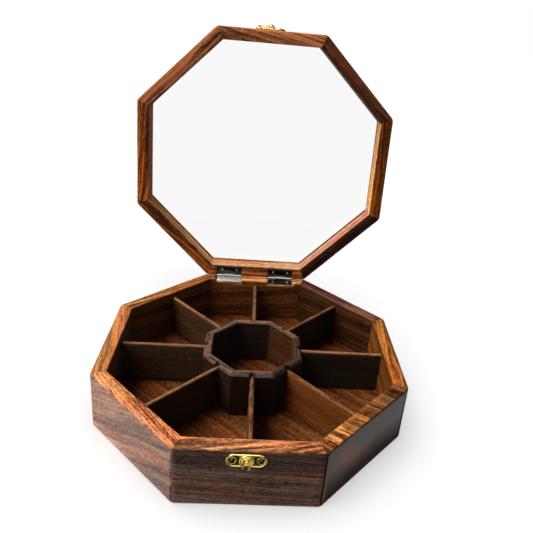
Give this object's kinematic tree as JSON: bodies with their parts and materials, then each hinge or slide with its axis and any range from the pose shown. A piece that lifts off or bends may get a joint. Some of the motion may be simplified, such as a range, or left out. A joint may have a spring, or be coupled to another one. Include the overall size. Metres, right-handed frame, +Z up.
{
  "type": "octagonal spice box",
  "caption": "Octagonal wooden spice box with a hinged glass-topped lid, a brass swing latch, lift-out dividers and a centre cup.",
  "frame": {"origin": "centre of the underside of the bottom panel, where the box rests", "axes": "+Z up; -Y towards the front, the side with the brass catch; +X to the right as seen from the front"},
  "size_m": [0.25, 0.3002, 0.3014],
  "materials": {
    "wall_wood": "waxed satin, strong straight grain",
    "floor_wood": "satin, diagonal grain",
    "lid_wood": "waxed satin, strong straight grain",
    "divider_wood": "plain, worn lighter along the top edge",
    "cup_wood": "matte, greyed rim",
    "pane_glass": "clear and plain",
    "hinge_steel": "darkened, bright where rubbed",
    "nail_steel": "darkened",
    "screw_steel": "darkened",
    "latch_brass": "bright pressed brass"
  },
  "bodies": {
    "box": {"wall_right": "wall_wood", "wall_back_right": "wall_wood", "wall_back": "wall_wood", "wall_back_left": "wall_wood", "wall_left": "wall_wood", "wall_front_left": "wall_wood", "wall_front": "wall_wood", "wall_front_right": "wall_wood", "bottom_panel": "floor_wood", "hinge_left_fixed_leaf": "hinge_steel", "hinge_left_pin": "hinge_steel", "hinge_left_fixed_nail_1": "nail_steel", "hinge_left_fixed_nail_2": "nail_steel", "hinge_right_fixed_leaf": "hinge_steel", "hinge_right_pin": "hinge_steel", "hinge_right_fixed_nail_1": "nail_steel", "hinge_right_fixed_nail_2": "nail_steel", "catch_plate": "latch_brass", "catch_stud": "latch_brass", "catch_plate_screw_1": "screw_steel", "catch_plate_screw_2": "screw_steel"},
    "lid": {"lid_rail_right": "lid_wood", "lid_rail_back_right": "lid_wood", "lid_rail_back": "lid_wood", "lid_rail_back_left": "lid_wood", "lid_rail_left": "lid_wood", "lid_rail_front_left": "lid_wood", "lid_rail_front": "lid_wood", "lid_rail_front_right": "lid_wood", "lid_glass": "pane_glass", "hinge_left_moving_leaf": "hinge_steel", "hinge_left_moving_nail_1": "nail_steel", "hinge_left_moving_nail_2": "nail_steel", "hinge_right_moving_leaf": "hinge_steel", "hinge_right_moving_nail_1": "nail_steel", "hinge_right_moving_nail_2": "nail_steel", "latch_plate": "latch_brass", "latch_rivet": "latch_brass", "latch_plate_screw_1": "screw_steel", "latch_plate_screw_2": "screw_steel"},
    "arm": {"latch_arm": "latch_brass"},
    "cup": {"cup_right": "cup_wood", "cup_back_right": "cup_wood", "cup_back": "cup_wood", "cup_back_left": "cup_wood", "cup_left": "cup_wood", "cup_front_left": "cup_wood", "cup_front": "cup_wood", "cup_front_right": "cup_wood"},
    "divider_right": {"divider_right": "divider_wood"},
    "divider_back_right": {"divider_back_right": "divider_wood"},
    "divider_back": {"divider_back": "divider_wood"},
    "divider_back_left": {"divider_back_left": "divider_wood"},
    "divider_left": {"divider_left": "divider_wood"},
    "divider_front_left": {"divider_front_left": "divider_wood"},
    "divider_front": {"divider_front": "divider_wood"},
    "divider_front_right": {"divider_front_right": "divider_wood"}
  },
  "joints": [
    {"name": "lid_hinge", "type": "hinge", "parent": "box", "child": "lid", "pos_m": [0, 0.12426, 0.0482], "axis": [-1, 0, 0], "range_deg": [-94.5, 0]},
    {"name": "latch_swing", "type": "hinge", "parent": "lid", "child": "arm", "pos_m": [-0.002, 0.15179, 0.29606], "axis": [0, -0.0785, -0.9969], "range_deg": [-145, 0]},
    {"name": "cup_lift", "type": "slide", "parent": "box", "child": "cup", "axis": [0, 0, 1], "range_m": [0, 0.045]},
    {"name": "divider_right_lift", "type": "slide", "parent": "box", "child": "divider_right", "axis": [0, 0, 1], "range_m": [0, 0.045]},
    {"name": "divider_back_right_lift", "type": "slide", "parent": "box", "child": "divider_back_right", "axis": [0, 0, 1], "range_m": [0, 0.045]},
    {"name": "divider_back_lift", "type": "slide", "parent": "box", "child": "divider_back", "axis": [0, 0, 1], "range_m": [0, 0.045]},
    {"name": "divider_back_left_lift", "type": "slide", "parent": "box", "child": "divider_back_left", "axis": [0, 0, 1], "range_m": [0, 0.045]},
    {"name": "divider_left_lift", "type": "slide", "parent": "box", "child": "divider_left", "axis": [0, 0, 1], "range_m": [0, 0.045]},
    {"name": "divider_front_left_lift", "type": "slide", "parent": "box", "child": "divider_front_left", "axis": [0, 0, 1], "range_m": [0, 0.045]},
    {"name": "divider_front_lift", "type": "slide", "parent": "box", "child": "divider_front", "axis": [0, 0, 1], "range_m": [0, 0.045]},
    {"name": "divider_front_right_lift", "type": "slide", "parent": "box", "child": "divider_front_right", "axis": [0, 0, 1], "range_m": [0, 0.045]}
  ]
}
